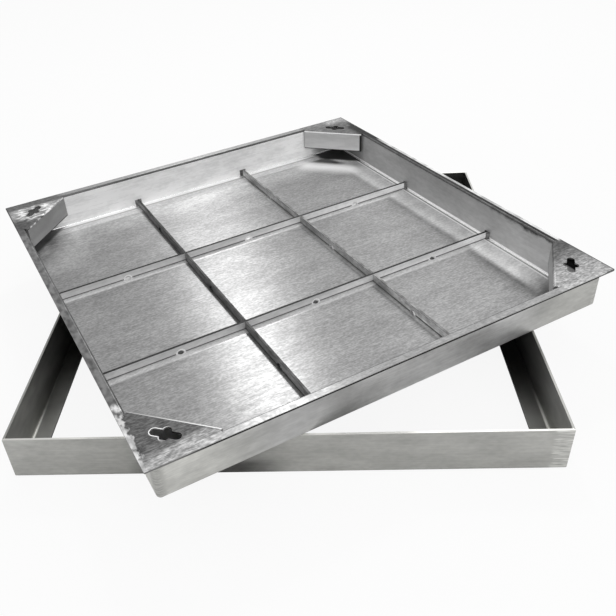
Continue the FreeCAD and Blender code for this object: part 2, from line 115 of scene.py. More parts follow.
class NodeTree:
    """A thin helper that adds shader nodes and links them."""

    def __init__(self, owner: bpy.types.Material | bpy.types.World) -> None:
        """Empty the owner's tree and keep it.

        Args:
            owner: The material or world of the tree.
        """
        owner.use_nodes = True
        self.tree = owner.node_tree
        self.tree.nodes.clear()

    def add(self, kind: str, links: dict[int | str, Socket] | None = None,
            **values: object) -> bpy.types.Node:
        """Add a node, set its properties and sockets, and link its inputs.

        Args:
            kind: The node's type, such as ShaderNodeMath.
            links: Input socket name or number to the output socket that feeds it.
            values: Properties of the node, or values of its input sockets.

        Returns:
            The new node.
        """
        node = self.tree.nodes.new(kind)
        for name, value in values.items():
            if hasattr(node, name):
                setattr(node, name, value)
            else:
                node.inputs[name.replace("_", " ")].default_value = value
        for socket, source in (links or {}).items():
            self.tree.links.new(source, node.inputs[socket])
        return node

    def feed(self, socket: Socket, value: Number) -> None:
        """Set an input to a number, or link the socket that feeds it.

        Args:
            socket: The input.
            value: The number or the socket.
        """
        if isinstance(value, (int, float)):
            socket.default_value = value
        else:
            self.tree.links.new(value, socket)

    def math(self, operation: str, *inputs: Number) -> Socket:
        """Add a Math node.

        Args:
            operation: What it does, such as MULTIPLY.
            inputs: Sockets or numbers.

        Returns:
            The socket of the result.
        """
        node = self.add("ShaderNodeMath", operation=operation)
        for socket, value in zip(node.inputs, inputs):
            self.feed(socket, value)
        return node.outputs[0]

    def add_up(self, first: Number, second: Number) -> Socket:
        """The sum of two values."""
        return self.math("ADD", first, second)

    def take(self, first: Number, second: Number) -> Socket:
        """The first value less the second."""
        return self.math("SUBTRACT", first, second)

    def times(self, *factors: Number) -> Socket:
        """The product of some tones or masks."""
        return reduce(partial(self.math, "MULTIPLY"), factors)

    def most(self, *values: Number) -> Socket:
        """The largest of some values."""
        return reduce(partial(self.math, "MAXIMUM"), values)

    def shift(self, value: Number, pattern: Socket, reach: Number) -> Socket:
        """Add a pattern to a value, as far as the pattern reaches."""
        return self.math("MULTIPLY_ADD", pattern, reach, value)

    def off(self, value: Socket, middle: float = 0.0) -> Socket:
        """How far a value lies off a middle, whichever way."""
        return self.math("ABSOLUTE", self.take(value, middle) if middle else value)

    def length(self, across: Socket, up: Socket) -> Socket:
        """The length of a line from its reach in two directions."""
        return self.math("SQRT", self.shift(self.times(up, up), across, across))

    def ramp(self, value: Socket, start: float, end: float,
             first: float = 0.0, last: float = 1.0) -> Socket:
        """Go smoothly from one level to another.

        Args:
            value: What the ramp follows.
            start: The value at which it starts, below or above the end.
            end: The value at which it ends.
            first: The level on the start's side.
            last: The level on the end's side.

        Returns:
            The socket of the result.
        """
        node = self.add("ShaderNodeMapRange", {"Value": value}, interpolation_type="SMOOTHSTEP")
        for name, number in zip(("From Min", "From Max", "To Min", "To Max"),
                                (start, end, first, last)):
            node.inputs[name].default_value = number
        return node.outputs[0]

    def band(self, value: Socket, low: float, high: float, soft: float) -> Socket:
        """A mask that is one between two values and fades to zero over a soft margin."""
        return self.times(self.ramp(value, low - soft, low), self.ramp(value, high + soft, high))

    def blend(self, tone: Number, other: Number, mask: Socket) -> Socket:
        """Go from one tone to another where a mask is one.

        Args:
            tone: The tone where the mask is zero.
            other: The tone where it is one.
            mask: The mask.

        Returns:
            The socket of the result.
        """
        node = self.add("ShaderNodeMix", {0: mask})
        self.feed(node.inputs[2], tone)
        self.feed(node.inputs[3], other)
        return node.outputs[0]

    def scale(self, tone: Number, share: float, mask: Socket) -> Socket:
        """Multiply a tone by a share where a mask is one."""
        return self.times(tone, self.shift(1.0, mask, share - 1.0))

    def vary(self, tone: Number, pattern: Socket, amount: float) -> Socket:
        """Multiply a tone by 1 - amount where a pattern is zero and 1 + amount where it is one."""
        return self.times(tone, self.shift(1.0 - amount, pattern, 2.0 * amount))


class Surface(NodeTree):
    """A metal surface whose tone is worked out from patterns laid in the piece's own directions."""

    def __init__(self, name: str, turn: float) -> None:
        """Start the material.

        Args:
            name: Name of the material.
            turn: How far the piece's own directions are turned about the vertical, in radians.
        """
        self.material = bpy.data.materials.new(name)
        super().__init__(self.material)
        self.turn = turn
        objects = self.add("ShaderNodeTexCoord").outputs["Object"]
        self.place = self.add("ShaderNodeMapping", {"Vector": objects},
                              Rotation=(0.0, 0.0, -turn),
                              Scale=(1.0 / MM, 1.0 / MM, 1.0 / MM)).outputs[0]
        parts = self.add("ShaderNodeSeparateXYZ", {0: self.place})
        self.x, self.y, self.z = parts.outputs

    def noise(self, size: tuple[float, float, float], detail: float = 2.0,
              seed: float = 0.0, low: float = 0.3, high: float = 0.7) -> Socket:
        """Noise from zero to one whose spots have a size of their own in each direction.

        Args:
            size: Size of a spot along x, y and z, in millimetres.
            detail: How many finer layers are added.
            seed: Shifts the pattern.
            low: Noise value that becomes zero.
            high: Noise value that becomes one.

        Returns:
            The socket of the result.
        """
        scaled = self.add("ShaderNodeMapping", {"Vector": self.place},
                          Scale=tuple(1.0 / side for side in size),
                          Location=(seed, seed * 0.7, seed * 1.3)).outputs[0]
        value = self.add("ShaderNodeTexNoise", {"Vector": scaled}, Scale=1.0, Detail=detail)
        return self.ramp(value.outputs[0], low, high)

    def near(self, across: float, up: float, reach: float, soft: float) -> Socket:
        """A round mask about a point of the plan.

        Args:
            across: The point's x.
            up: The point's y.
            reach: Radius inside which the mask is one.
            soft: Width over which it fades.

        Returns:
            The mask's socket.
        """
        away = self.length(self.take(self.x, across), self.take(self.y, up))
        return self.ramp(away, reach + soft, reach)

    def finish(self, tone: Number, rough: Number, height: Socket, depth: float,
               tint: tuple[Number, Number, Number] = NEUTRAL, metallic: Number = 1.0,
               stretch: float = 0.0) -> bpy.types.Material:
        """Close the material with a metal shader.

        Args:
            tone: Grey level, linear.
            rough: Roughness.
            height: Pattern of the bump.
            depth: How deep the bump is, in millimetres.
            tint: Colour that the grey is multiplied by.
            metallic: How metallic the surface is.
            stretch: How much the highlight is drawn out across a grain that runs along x.

        Returns:
            The finished material.
        """
        red, green, blue = (self.times(tone, share) for share in tint)
        colour = self.add("ShaderNodeCombineColor", {0: red, 1: green, 2: blue}).outputs[0]
        bump = self.add("ShaderNodeBump", {"Height": height}, Strength=1.0, Distance=depth * MM)
        shader = self.add("ShaderNodeBsdfPrincipled",
                          {"Base Color": colour, "Roughness": rough, "Normal": bump.outputs[0]},
                          Anisotropic=stretch)
        if stretch:
            across = self.turn + math.pi / 2.0
            tangent = self.add("ShaderNodeCombineXYZ", X=math.cos(across), Y=math.sin(across),
                               Z=0.0)
            self.feed(shader.inputs["Tangent"], tangent.outputs[0])
        self.feed(shader.inputs["Metallic"], metallic)
        self.add("ShaderNodeOutputMaterial", {"Surface": shader.outputs[0]})
        return self.material


@dataclass(frozen=True)
class GroundCorner:
    """How one corner of the lid is ground.

    Attributes:
        corner: Which corner.
        start: Distance off the middle at which its tone starts to change, in millimetres.
        end: Distance at which it has changed.
        inner: Grey level near the plate's fold, linear.
        outer: Grey level near the rim's edge.
    """

    corner: Corner
    start: float
    end: float
    inner: float
    outer: float


GROUND_CORNERS = (
    GroundCorner(Corner.FRONT, 274.0, 294.0, 0.105, 0.33),
    GroundCorner(Corner.RIGHT, 222.0, 284.0, 0.085, 0.35),
    GroundCorner(Corner.BACK, 268.0, 300.0, 0.12, 0.36),
    GroundCorner(Corner.LEFT, 242.0, 262.0, 0.095, 0.3),
)


class LidSurface(Surface):
    """A surface of the lid, with the patterns that cross from one of its pieces to the next.

    The grey levels are those of the left corner's bright patches and dull edge, of the back
    corner's scrape and of the painted highlight round the front corner's key hole.
    """

    PATCH_TONE = 0.7
    EDGE_TONE = 0.13
    SCRAPE_TONE = 0.02
    # Painted highlight on the edge round the front key hole.
    BURR_TONE = 0.75

    def __init__(self, name: str) -> None:
        """Start the material with the lid's own directions.

        Args:
            name: Name of the material.
        """
        super().__init__(name, LID_TURN)
        self.off_x = self.off(self.x)
        self.off_y = self.off(self.y)
        self.cut = self.add_up(self.off_x, self.off_y)

    def side(self, value: Socket, sign: int) -> Socket:
        """A mask of the side on which a coordinate has a given sign."""
        return self.ramp(value, -sign, sign)

    def quarter(self, corner: Corner) -> Socket:
        """A mask of the quarter of the lid in which a corner lies."""
        across, up = corner.value
        return self.times(self.side(self.x, across), self.side(self.y, up))

    def by_corner(self, front: float, right: float, back: float, left: float) -> Socket:
        """A value that each quarter of the lid has for itself.

        Args:
            front: The front corner's value.
            right: The right corner's.
            back: The back corner's.
            left: The left corner's.

        Returns:
            The socket of the result.
        """
        value = front
        for corner, level in ((Corner.RIGHT, right), (Corner.BACK, back), (Corner.LEFT, left)):
            value = self.shift(value, self.quarter(corner), level - front)
        return value

    def hatch(self, tone: Number, amount: float) -> Socket:
        """Lay the fine short lines and specks of brushed sheet over a tone.

        Args:
            tone: The tone of the sheet.
            amount: How strong the short lines are.

        Returns:
            The tone's socket.
        """
        long = self.noise((60.0, 1.0, 5.0), 3.0)
        short = self.noise((9.0, 1.6, 4.0), 2.0, 11.0)
        speck = self.noise((3.4, 2.2, 4.0), 1.0, 12.0)
        tone = self.vary(tone, long, 0.6 * amount)
        tone = self.vary(tone, short, amount)
        return self.vary(tone, speck, amount)

    def ground_ends(self) -> Socket:
        """A mask of the rim's four ground corners, with a ragged border.

        Returns:
            The mask's socket.
        """
        ragged = self.shift(self.math("MINIMUM", self.off_x, self.off_y),
                            self.noise((20.0, 20.0, 20.0), 2.0, 21.0), 14.0)
        return self.ramp(ragged, 214.0, 234.0)

    def ground_tone(self) -> Socket:
        """The tone of the four coarsely ground corners, each duller inwards than by the edges.

        Returns:
            The tone's socket.
        """
        cloud = self.noise((24.0, 8.0, 20.0), 2.0, 3.0)
        swirl = self.noise((5.0, 2.2, 6.0), 3.0, 7.0)
        strokes = self.noise((9.0, 0.9, 6.0), 3.0, 8.0)
        place = self.shift(self.take(self.off_y, 4.0), cloud, 8.0)
        tone = 0.0
        for ground in GROUND_CORNERS:
            shade = self.ramp(place, ground.start, ground.end, ground.inner, ground.outer)
            tone = self.math("MULTIPLY_ADD", shade, self.quarter(ground.corner), tone)
        tone = self.back_corner(self.left_corner(tone), swirl)
        tone = self.times(tone, self.ramp(self.y, -299.0, -293.0, 1.25, 1.0))
        tone = self.vary(self.vary(tone, swirl, 0.34), strokes, 0.26)
        # Painted highlight on the edge round the front key hole.
        return self.blend(tone, self.BURR_TONE, self.hole_burr())

    def left_corner(self, tone: Socket) -> Socket:
        """Rub the left corner bright in patches round its key hole and dull along its edge.

        Args:
            tone: The tone so far.

        Returns:
            The tone's socket.
        """
        patches = self.times(self.near(-KEY_HOLE_PLACE + 1.0, KEY_HOLE_PLACE + 3.0, 20.0, 18.0),
                             self.noise((14.0, 5.0, 8.0), 2.0, 17.0, 0.42, 0.58))
        edge = self.times(self.quarter(Corner.LEFT), self.ramp(self.y, 282.0, 288.0))
        return self.blend(self.blend(tone, self.PATCH_TONE, patches), self.EDGE_TONE, edge)

    def back_corner(self, tone: Socket, swirl: Socket) -> Socket:
        """Dull the back corner's left end and scrape its right edge dark.

        Args:
            tone: The tone so far.
            swirl: Pattern of the scrape's border.

        Returns:
            The tone's socket.
        """
        end = self.times(self.ramp(self.x, 270.0, 258.0), self.ramp(self.y, 272.0, 280.0),
                         self.quarter(Corner.BACK))
        scraped = self.times(self.ramp(self.shift(self.x, swirl, 8.0), 286.0, 294.0),
                             self.band(self.y, 205.0, 254.0, 10.0))
        return self.blend(self.scale(tone, 0.6, end), self.SCRAPE_TONE, scraped)

    def hole_burr(self) -> Socket:
        """A mask of the painted highlight round the left end of the front corner's key hole.

        Returns:
            The mask's socket.
        """
        across = self.add_up(self.x, KEY_HOLE_PLACE)
        up = self.add_up(self.y, KEY_HOLE_PLACE)
        along = self.times(self.take(across, up), math.sqrt(0.5))
        aside = self.times(self.add_up(across, up), math.sqrt(0.5))
        away = self.math("MINIMUM", self.off_slot(along, aside, KEY_SLOT_LONG),
                         self.off_slot(aside, along, KEY_SLOT_SHORT))
        return self.times(self.ramp(away, 1.2, 0.7), self.ramp(along, 2.0, -8.0),
                          self.quarter(Corner.FRONT))

    def off_slot(self, along: Socket, aside: Socket, length: float) -> Socket:
        """How far a place lies outside a slot with round ends.

        Args:
            along: The place along the slot, from its middle.
            aside: The place across it.
            length: The slot's length over all.

        Returns:
            The socket of the distance.
        """
        past = self.most(self.take(self.off(along), (length - KEY_SLOT_WIDTH) / 2.0), 0.0)
        return self.take(self.length(past, aside), KEY_SLOT_WIDTH / 2.0)


@dataclass(frozen=True)
class FloorFinish:
    """The tray's floor: bright brushed sheet whose grain draws one light out into a streak.

    Attributes:
        tone: Grey level, linear.
        rubbed_tone: Grey level of the matt bands of painted light and painted reflection.
        back_lift: How much brighter the floor is along the back left wall, as painted light.
        left_lift: How much brighter it is by the left corner, as painted light.
        weep_tone: Grey level of the painted shade in the middle of the front rib's weep notches.
        bright_tone: Grey level of the painted highlights along the walls' feet and of the painted
            pool of light before the back plate.
        line_tone: Grey level of the painted shade line along the foot of the back right wall.
        dull_tone: Grey level of the painted shade line along the foot of the back left wall.
        border_tone: Grey level of the painted shadow along the back corner plate's border.
        covered_tones: Grey levels of the painted shade under the front, right, back and left corner
            plates.
        matt: How much less metallic the bands of painted light and the pool of light are.
        roughness: Mean roughness.
        stretch: How much the highlight is drawn out across the grain.
        wall_band: Width of the rubbed band along the back right wall, in millimetres.
        rib_band: Width of the rubbed bands in front of the ribs.
        plate_shade: Where the shade under a corner plate starts and is full, as x plus y.
    """

    tone: float = 0.29
    rubbed_tone: float = 0.86
    back_lift: float = 1.45
    left_lift: float = 1.5
    weep_tone: float = 0.05
    bright_tone: float = 1.0
    line_tone: float = 0.12
    dull_tone: float = 0.5
    border_tone: float = 0.25
    covered_tones: tuple[float, float, float, float] = (0.02, 0.52, 0.05, 0.15)
    matt: float = 0.75
    roughness: float = 0.36
    stretch: float = 0.88
    wall_band: float = 36.0
    rib_band: float = 9.0
    plate_shade: Span = (503.0, 513.0)

    def build(self) -> bpy.types.Material:
        """Make the material.

        Returns:
            The finished material.
        """
        steel = LidSurface("tray_floor_steel")
        cloud = steel.noise((70.0, 28.0, 20.0), 3.0, 4.0)
        smear = steel.noise((26.0, 6.0, 5.0), 2.0, 9.0)
        wave = steel.noise((150.0, 60.0, 50.0), 1.0, 2.0)
        tone = steel.vary(steel.vary(steel.hatch(self.tone, 0.13), cloud, 0.07), smear, 0.03)
        # Painted light along the back left wall and by the left corner, brightening floor that the
        # walls and the left plate shade.
        tone = steel.scale(tone, self.back_lift, steel.ramp(steel.y, 200.0, 270.0))
        left = steel.times(steel.ramp(steel.x, -190.0, -255.0), steel.ramp(steel.y, 130.0, 200.0))
        tone = steel.scale(tone, self.left_lift, left)
        # Painted light: matt bands for the walls' and ribs' reflection on the floor, and a painted
        # pool of light before the back plate.
        rubbed = self.rubbed(steel)
        glow = self.glow(steel)
        worn = steel.vary(steel.hatch(self.rubbed_tone, 0.08), cloud, 0.1)
        tone = steel.blend(steel.blend(tone, worn, rubbed), self.bright_tone, glow)
        tone = self.covered(steel, self.foot_lines(steel, self.weeps(steel, tone)))
        return steel.finish(tone, steel.vary(self.roughness, smear, 0.08), wave, 0.35,
                            metallic=steel.shift(1.0, steel.most(rubbed, glow), -self.matt),
                            stretch=self.stretch)

    def rubbed(self, steel: LidSurface) -> Socket:
        """A mask of the matt bands of painted light along the two back walls and of painted
        reflection in front of the ribs.

        Args:
            steel: The floor's surface.

        Returns:
            The mask's socket.
        """
        inner = BAY_HALF - self.wall_band
        wall = steel.times(steel.ramp(steel.x, inner - 9.0, inner + 4.0),
                           steel.ramp(steel.x, inner + 8.0, inner + 18.0, 1.0, 0.85),
                           steel.ramp(steel.y, -245.0, -195.0, 0.2, 1.0),
                           steel.ramp(steel.y, -150.0, -40.0, 1.0, 0.75))
        back = steel.band(steel.y, BAY_HALF - 22.0, BAY_HALF - 7.0, 4.0)
        mask = steel.most(wall, steel.times(back, 0.6))
        for rib in (RIB_FRONT, RIB_BACK):
            ahead = steel.band(steel.y, rib - self.rib_band, rib, 4.0)
            mask = steel.most(mask, steel.times(ahead, 0.55))
        beside = steel.band(steel.x, RIB_RIGHT - 0.6 * self.rib_band, RIB_RIGHT, 3.0)
        return steel.most(mask, steel.times(beside, 0.25))

    def aside(self, steel: LidSurface) -> Socket:
        """How far a place lies off the line from the lid's middle to its corner."""
        return steel.off(steel.take(steel.off_x, steel.off_y))

    def glow(self, steel: LidSurface) -> Socket:
        """A mask of the matt painted pool of light before the back corner plate."""
        return steel.times(steel.ramp(steel.cut, 418.0, 466.0), steel.ramp(steel.cut, 490.0, 474.0),
                           steel.ramp(self.aside(steel), 95.0, 50.0), steel.quarter(Corner.BACK))

    def weeps(self, steel: LidSurface, tone: Socket) -> Socket:
        """Darken the middles of the front rib's three weep notches with painted shade.

        Args:
            steel: The floor's surface.
            tone: The tone so far.

        Returns:
            The tone's socket.
        """
        for step in (-1, 0, 1):
            weep = steel.near(WEEP_SHIFT + step * WEEP_PITCH, RIB_FRONT, 3.0, 1.5)
            tone = steel.blend(tone, self.weep_tone, weep)
        return tone

    def foot_lines(self, steel: LidSurface, tone: Socket) -> Socket:
        """Draw the painted shade lines and painted highlights along the feet of the two back walls.

        Args:
            steel: The floor's surface.
            tone: The tone so far.

        Returns:
            The tone's socket.
        """
        # Painted shade line and painted highlight along the back right wall's foot.
        dark = steel.band(steel.x, BAY_HALF - 4.2, BAY_HALF - 3.6, 0.5)
        bright = steel.band(steel.x, BAY_HALF - 7.6, BAY_HALF - 5.4, 0.8)
        tone = steel.blend(steel.blend(tone, self.line_tone, dark), self.bright_tone, bright)
        # Painted highlight and painted shade line along the back left wall's foot.
        bright = steel.ramp(steel.y, BAY_HALF - 7.0, BAY_HALF - 6.0)
        dull = steel.band(steel.y, BAY_HALF - 9.5, BAY_HALF - 8.0, 1.5)
        return steel.blend(steel.blend(tone, self.bright_tone, bright), self.dull_tone, dull)

    def covered(self, steel: LidSurface, tone: Socket) -> Socket:
        """Paint shade on the floor under the corner plates, and a painted shadow along the back
        one's border.

        Args:
            steel: The floor's surface.
            tone: The tone so far.

        Returns:
            The tone's socket.
        """
        back = steel.quarter(Corner.BACK)
        # Painted shadow along the back plate's skirt.
        border = steel.times(back, steel.band(steel.cut, 489.0, 495.0, 5.0),
                             steel.ramp(self.aside(steel), 50.0, 10.0))
        tone = steel.blend(tone, self.border_tone, border)
        # Painted shade under the corner plates.
        place = steel.shift(steel.cut, steel.quarter(Corner.LEFT), -8.0)
        place = steel.shift(place, steel.times(back, steel.ramp(steel.y, 268.0, 286.0)), -14.0)
        return steel.blend(tone, steel.by_corner(*self.covered_tones),
                           steel.ramp(place, *self.plate_shade))


@dataclass(frozen=True)
class RimFinish:
    """The rim: brushed like the floor, each side with its own wear and painted highlights, and
    ground at the corners.

    Attributes:
        tone: Grey level of the front right and back left sides, linear.
        glare_tone: Grey level of the painted highlight on a stretch of the front right side.
        left_tone: Grey level of the scuffed left front side.
        right_tone: Grey level of the mottled back right side.
        shade_tone: Grey level of the dark band along that side.
        scrape_tone: Grey level of the scrape towards that side's back end.
        worn_tone: Grey level of the painted highlight on the left front side's end.
        burr_tone: Grey level of the darker outer edge of the ground corners.
        roughness: Mean roughness.
        stretch: How much the highlight is drawn out across the grain.
    """

    tone: float = 0.3
    glare_tone: float = 0.36
    left_tone: float = 0.17
    right_tone: float = 0.55
    shade_tone: float = 0.02
    scrape_tone: float = 0.015
    worn_tone: float = 0.62
    burr_tone: float = 0.05
    roughness: float = 0.4
    stretch: float = 0.75

    def build(self) -> bpy.types.Material:
        """Make the material.

        Returns:
            The finished material.
        """
        steel = LidSurface("rim_steel")
        scuff = steel.noise((7.0, 12.0, 8.0), 3.0, 13.0)
        blotch = steel.noise((30.0, 30.0, 10.0), 2.0, 15.0)
        right = steel.ramp(steel.x, 288.0, 290.0)
        tone = self.sides(steel, scuff, blotch, right)
        ends = steel.ground_ends()
        tone = steel.blend(tone, steel.ground_tone(), ends)
        tone = self.wear(steel, tone, scuff, blotch)
        # Darker along the outer edge of the ground corners on the two back sides.
        edge = steel.times(steel.ramp(steel.most(steel.off_x, steel.off_y), 300.4, 301.2), ends,
                           steel.most(steel.side(steel.y, 1), right))
        tone = steel.blend(tone, self.burr_tone, edge)
        return steel.finish(tone, steel.vary(self.roughness, scuff, 0.15), scuff, 0.01,
                            stretch=self.stretch)

    def sides(self, steel: LidSurface, scuff: Socket, blotch: Socket, right: Socket) -> Socket:
        """The tone of the four sides.

        Args:
            steel: The rim's surface.
            scuff: Pattern of the left front side.
            blotch: Pattern of the back right side.
            right: Mask of the back right side.

        Returns:
            The tone's socket.
        """
        # Painted highlight on a stretch of the front right side.
        glare = steel.times(steel.side(steel.y, -1), steel.band(steel.x, -205.0, -125.0, 40.0))
        tone = steel.hatch(steel.blend(self.tone, self.glare_tone, glare), 0.1)
        tone = steel.blend(tone, steel.vary(self.left_tone, scuff, 0.42),
                           steel.ramp(steel.x, -288.0, -290.0))
        tone = steel.blend(tone, steel.vary(self.right_tone, blotch, 0.35), right)
        return steel.blend(tone, self.shade_tone, steel.band(steel.x, 289.0, 297.0, 1.0))

    def wear(self, steel: LidSurface, tone: Socket, scuff: Socket, blotch: Socket) -> Socket:
        """Add the scrape on the back right side and the painted highlight on the end of the left
        front side.

        Args:
            steel: The rim's surface.
            tone: The tone so far.
            scuff: Pattern of the painted highlight on that end.
            blotch: Pattern of the scrape's border.

        Returns:
            The tone's socket.
        """
        scrape = steel.times(steel.ramp(steel.shift(steel.x, blotch, 5.0), 293.0, 297.0),
                             steel.band(steel.y, 190.0, 258.0, 22.0))
        tone = steel.blend(tone, self.scrape_tone, scrape)
        # Painted highlight on the left front side's end by the front corner.
        ragged = steel.shift(steel.x, steel.noise((5.0, 7.0, 8.0), 2.0, 19.0), -8.0)
        bare = steel.times(steel.ramp(ragged, -298.5, -305.0),
                           steel.ramp(steel.y, -206.0, -222.0))
        smudge = steel.times(steel.near(-297.0, -208.0, 4.0, 6.0), scuff)
        return steel.blend(tone, steel.vary(self.worn_tone, scuff, 0.3), steel.most(bare, smudge))


@dataclass(frozen=True)
class GroundFinish:
    """The ground top of a corner plate and its seam, and the plain skirt folded down from it.

    Attributes:
        name: Name of the material.
        skirt_tone: Grey level of the skirt, linear.
        skirt_shares: Share of it at the front, right, back and left corners, as painted light and
            shade.
        skirt_edge_tone: Grey level of the skirt's cut foot and of the painted shadow at the back
            skirt's right end.
        fold_tone: Grey level of the painted highlight along the fold.
        roughness: Mean roughness of the ground part.
    """

    name: str
    skirt_tone: float = 0.68
    skirt_shares: tuple[float, float, float, float] = (1.0, 0.5, 1.0, 0.58)
    skirt_edge_tone: float = 0.04
    fold_tone: float = 0.8
    roughness: float = 0.5

    def build(self) -> bpy.types.Material:
        """Make the material.

        Returns:
            The finished material.
        """
        steel = LidSurface(self.name)
        lines = steel.noise((40.0, 1.1, 6.0), 3.0, 2.0)
        top = steel.ramp(steel.z, LID_TOP - 2.6, LID_TOP - 1.6)
        tone = steel.blend(self.skirt(steel), steel.vary(steel.ground_tone(), lines, 0.18), top)
        # Painted highlight along the plates' folds.
        tone = steel.blend(tone, self.fold_tone,
                           steel.times(self.fold(steel), self.fold_share(steel)))
        return steel.finish(tone, steel.vary(self.roughness, lines, 0.1), lines, 0.02)

    def skirt(self, steel: LidSurface) -> Socket:
        """The skirts: painted shade on two corners' skirts, the foot of all dark and a painted
        shadow on the back one's right end.

        Args:
            steel: The plate's surface.

        Returns:
            The tone's socket.
        """
        tone = steel.vary(self.skirt_tone, steel.noise((30.0, 30.0, 9.0), 2.0), 0.06)
        # Painted light and shade: a share for each corner's skirt.
        tone = steel.times(tone, steel.by_corner(*self.skirt_shares))
        foot = steel.ramp(steel.z, PLATE_FOOT + 1.6, PLATE_FOOT + 0.8)
        # Painted shadow in the gap at the back skirt's right end.
        end = steel.times(steel.ramp(steel.off_x, 285.4, 286.2), steel.quarter(Corner.BACK))
        return steel.blend(tone, self.skirt_edge_tone, steel.most(foot, end))

    def fold(self, steel: LidSurface) -> Socket:
        """A mask of the plates' folds, wider on the front plates than on the back ones."""
        width = steel.ramp(steel.y, -1.0, 1.0, 4.2, 1.4)
        return steel.times(steel.ramp(steel.take(steel.cut, width), PLATE_FOLD + 0.5,
                                      PLATE_FOLD - 0.5),
                           steel.ramp(steel.z, LID_TOP - 2.4, LID_TOP - 1.6))

    def fold_share(self, steel: LidSurface) -> Socket:
        """How strong the painted highlight on the folds is: patchy at the left, hardly any at the
        right.

        Args:
            steel: The plate's surface.

        Returns:
            The socket of the share.
        """
        patches = steel.noise((9.0, 9.0, 9.0), 2.0, 25.0, 0.45, 0.6)
        left = steel.times(steel.quarter(Corner.LEFT), steel.shift(1.0, patches, -0.7))
        right = steel.times(steel.quarter(Corner.RIGHT),
                            steel.ramp(steel.y, -274.0, -264.0, 0.85, 1.0))
        front = steel.times(steel.quarter(Corner.FRONT),
                            steel.ramp(steel.x, -288.0, -222.0, 0.6, 0.05))
        return steel.take(steel.take(1.0, steel.add_up(left, right)), front)


@dataclass(frozen=True)
class SheetFinish:
    """A plain stretch of rolled sheet.

    Attributes:
        name: Name of the material.
        tone: Grey level, linear.
        roughness: Mean roughness.
        along: Which way its rolling lines run.
        turn: How far its own directions are turned about the vertical.
        mottle: How uneven its tone is.
        tint: Colour that the grey is multiplied by.
        metallic: How metallic it is; pickled sheet is a little matt.
    """

    name: str
    tone: float
    roughness: float = 0.42
    along: Along = Along.X
    turn: float = LID_TURN
    mottle: float = 0.08
    tint: tuple[float, float, float] = NEUTRAL
    metallic: float = 1.0

    def build(self) -> bpy.types.Material:
        """Make the material.

        Returns:
            The finished material.
        """
        steel = Surface(self.name, self.turn)
        lines = steel.noise(self.sizes(70.0, 0.9), 3.0)
        cloud = steel.noise(self.sizes(60.0, 18.0), 3.0, 5.0)
        spots = steel.noise(self.sizes(9.0, 4.0), 2.0, 8.0)
        tone = steel.vary(self.tone, lines, 0.05)
        tone = steel.vary(steel.vary(tone, cloud, self.mottle), spots, 0.6 * self.mottle)
        height, depth = self.relief(steel, lines)
        return steel.finish(self.shade(steel, tone), steel.vary(self.roughness, lines, 0.08),
                            height, depth, self.tints(steel), self.metallic)

    def sizes(self, long: float, short: float) -> tuple[float, float, float]:
        """Spot sizes that are long along the grain and short across it.

        Args:
            long: Size along the grain.
            short: Size across it, and in height.

        Returns:
            The sizes along x, y and z.
        """
        sides = [short, short, short]
        sides[self.along.value] = long
        return tuple(sides)

    def place(self, steel: Surface) -> Socket:
        """The place along the grain."""
        return steel.x if self.along is Along.X else steel.y

    def shade(self, steel: Surface, tone: Socket) -> Socket:
        """Add what is special to one place of the sheet; plain sheet has nothing."""
        return tone

    def relief(self, steel: Surface, lines: Socket) -> tuple[Socket, float]:
        """The bump's pattern and its depth in millimetres; plain sheet has only its lines."""
        return lines, 0.004

    def tints(self, steel: Surface) -> tuple[Number, Number, Number]:
        """The colour that the grey is multiplied by; plain sheet has the same all over."""
        return self.tint


@dataclass(frozen=True)
class WallFinish(SheetFinish):
    """An inner wall of the tray: painted highlight along its foot, painted shade behind the corner
    plates.

    Attributes:
        end_tone: Share of the tone that is left behind the corner plates, as painted shade.
        foot_tone: Grey level of the painted highlight along the foot.
        foot_rise: Height of that line, in millimetres.
    """

    end_tone: float = 0.5
    foot_tone: float = 0.9
    foot_rise: float = 3.4

    def shade(self, steel: Surface, tone: Socket) -> Socket:
        """Paint shade on the ends and a highlight on the foot.

        Args:
            steel: The wall's surface.
            tone: The tone so far.

        Returns:
            The tone's socket.
        """
        # Painted shade behind the corner plates and painted highlight along the foot.
        end = steel.ramp(steel.off(self.place(steel)), 228.0, 250.0)
        rise = FLOOR_TOP + self.foot_rise
        return steel.blend(steel.scale(tone, self.end_tone, end), self.foot_tone,
                           steel.ramp(steel.z, rise, rise - 1.2))

    def relief(self, steel: Surface, lines: Socket) -> tuple[Socket, float]:
        """Round the foot, so that it catches the light from above."""
        swell = steel.ramp(steel.z, FLOOR_TOP + self.foot_rise, FLOOR_TOP)
        return steel.shift(swell, lines, 0.001), self.foot_rise


